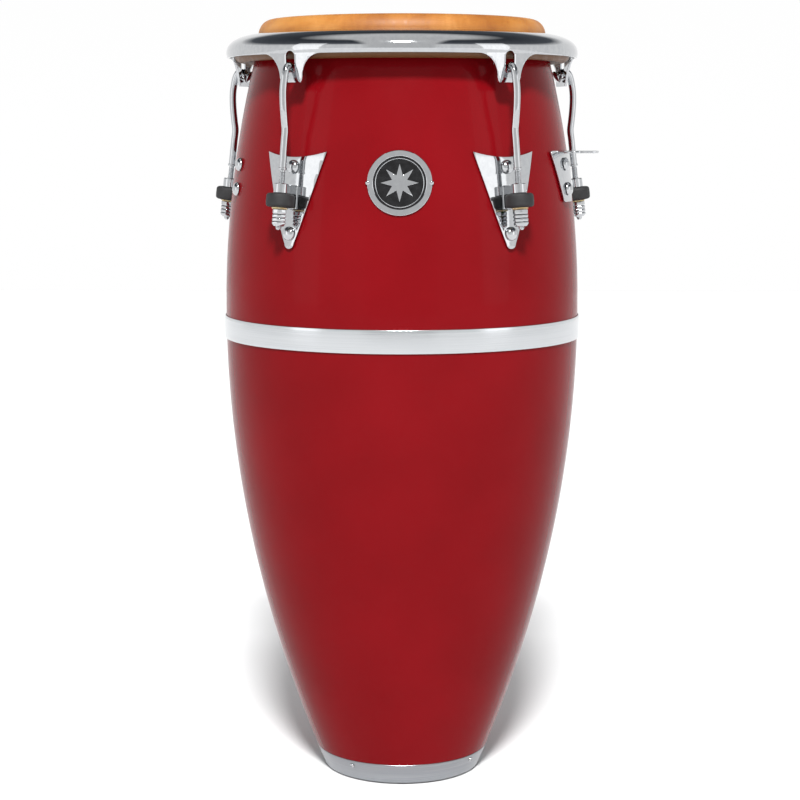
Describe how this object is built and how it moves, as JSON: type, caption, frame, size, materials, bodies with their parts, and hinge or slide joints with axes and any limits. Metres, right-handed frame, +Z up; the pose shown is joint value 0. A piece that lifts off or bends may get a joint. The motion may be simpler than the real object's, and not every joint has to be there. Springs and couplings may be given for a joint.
{
  "type": "conga drum",
  "caption": "Tall barrel-shaped hand drum with a side-tuned chromed rim, hooked tension rods on arrowhead plates, a belly band, a metal foot ring and a rawhide head.",
  "frame": {"origin": "on the drum's vertical axis, in the plane of the foot's underside", "axes": "+Z up along the drum's axis, -Y towards the badge, +X towards the stand bracket"},
  "size_m": [0.386, 0.3806, 0.7576],
  "materials": {
    "red_lacquer": "stave shell sprayed with opaque red lacquer and buffed to a high gloss",
    "chrome": "polished chrome plate",
    "satin_aluminium": "satin, spun",
    "hoop_steel": "plain rod",
    "rawhide": "dry scraped hide, amber",
    "black_rubber": "moulded, matt",
    "nylon": "cream, natural"
  },
  "bodies": {
    "shell": {"shell": "red_lacquer", "belly_band": "chrome", "bottom_ring": "satin_aluminium", "rubber_foot": "black_rubber", "badge": "chrome", "stand_bracket": "chrome", "side_plate_1": "chrome", "bumper_ring_1": "black_rubber", "washer_1": "nylon", "bolt_upper_1": "chrome", "bolt_lower_1": "chrome", "side_plate_2": "chrome", "bumper_ring_2": "black_rubber", "washer_2": "nylon", "bolt_upper_2": "chrome", "bolt_lower_2": "chrome", "side_plate_3": "chrome", "bumper_ring_3": "black_rubber", "washer_3": "nylon", "bolt_upper_3": "chrome", "bolt_lower_3": "chrome", "side_plate_4": "chrome", "bumper_ring_4": "black_rubber", "washer_4": "nylon", "bolt_upper_4": "chrome", "bolt_lower_4": "chrome", "side_plate_5": "chrome", "bumper_ring_5": "black_rubber", "washer_5": "nylon", "bolt_upper_5": "chrome", "bolt_lower_5": "chrome", "bracket_bolt_upper_1": "chrome", "bracket_bolt_lower_1": "chrome", "bracket_bolt_upper_2": "chrome", "bracket_bolt_lower_2": "chrome", "ring_screw_1": "chrome", "ring_screw_2": "chrome", "ring_screw_3": "chrome", "ring_screw_4": "chrome"},
    "crown": {"rim": "chrome", "flesh_hoop": "hoop_steel", "drum_head": "rawhide"},
    "rod_1": {"tension_rod_1": "chrome"},
    "nut_1": {"lug_nut_1": "chrome"},
    "rod_2": {"tension_rod_2": "chrome"},
    "nut_2": {"lug_nut_2": "chrome"},
    "rod_3": {"tension_rod_3": "chrome"},
    "nut_3": {"lug_nut_3": "chrome"},
    "rod_4": {"tension_rod_4": "chrome"},
    "nut_4": {"lug_nut_4": "chrome"},
    "rod_5": {"tension_rod_5": "chrome"},
    "nut_5": {"lug_nut_5": "chrome"}
  },
  "joints": [
    {"name": "crown_lift", "type": "slide", "parent": "shell", "child": "crown", "axis": [0, 0, 1], "range_m": [0, 0.006]},
    {"name": "rod_1_slide", "type": "slide", "parent": "shell", "child": "rod_1", "axis": [0.0716, 0.0986, 0.9925], "range_m": [0, 0.0061]},
    {"name": "nut_1_turn", "type": "hinge", "parent": "shell", "child": "nut_1", "pos_m": [-0.11206, -0.15423, 0.569], "axis": [-0.0716, -0.0986, -0.9925], "range_deg": [0, 1730]},
    {"name": "rod_2_slide", "type": "slide", "parent": "shell", "child": "rod_2", "axis": [-0.0716, 0.0986, 0.9925], "range_m": [0, 0.0061]},
    {"name": "nut_2_turn", "type": "hinge", "parent": "shell", "child": "nut_2", "pos_m": [0.11206, -0.15423, 0.569], "axis": [0.0716, -0.0986, -0.9925], "range_deg": [0, 1730]},
    {"name": "rod_3_slide", "type": "slide", "parent": "shell", "child": "rod_3", "axis": [-0.1159, -0.0377, 0.9925], "range_m": [0, 0.0061]},
    {"name": "nut_3_turn", "type": "hinge", "parent": "shell", "child": "nut_3", "pos_m": [0.18131, 0.05891, 0.569], "axis": [0.1159, 0.0377, -0.9925], "range_deg": [0, 1730]},
    {"name": "rod_4_slide", "type": "slide", "parent": "shell", "child": "rod_4", "axis": [0, -0.1219, 0.9925], "range_m": [0, 0.0061]},
    {"name": "nut_4_turn", "type": "hinge", "parent": "shell", "child": "nut_4", "pos_m": [0, 0.19064, 0.569], "axis": [0, 0.1219, -0.9925], "range_deg": [0, 1730]},
    {"name": "rod_5_slide", "type": "slide", "parent": "shell", "child": "rod_5", "axis": [0.1159, -0.0377, 0.9925], "range_m": [0, 0.0061]},
    {"name": "nut_5_turn", "type": "hinge", "parent": "shell", "child": "nut_5", "pos_m": [-0.18131, 0.05891, 0.569], "axis": [-0.1159, 0.0377, -0.9925], "range_deg": [0, 1730]}
  ],
  "couplings": [
    {"joint": "rod_1_slide", "follows": "crown_lift", "ratio": 1.0075},
    {"joint": "nut_1_turn", "follows": "crown_lift", "rad_per_m": 4984.5},
    {"joint": "rod_2_slide", "follows": "crown_lift", "ratio": 1.0075},
    {"joint": "nut_2_turn", "follows": "crown_lift", "rad_per_m": 4984.5},
    {"joint": "rod_3_slide", "follows": "crown_lift", "ratio": 1.0075},
    {"joint": "nut_3_turn", "follows": "crown_lift", "rad_per_m": 4984.5},
    {"joint": "rod_4_slide", "follows": "crown_lift", "ratio": 1.0075},
    {"joint": "nut_4_turn", "follows": "crown_lift", "rad_per_m": 4984.5},
    {"joint": "rod_5_slide", "follows": "crown_lift", "ratio": 1.0075},
    {"joint": "nut_5_turn", "follows": "crown_lift", "rad_per_m": 4984.5}
  ]
}
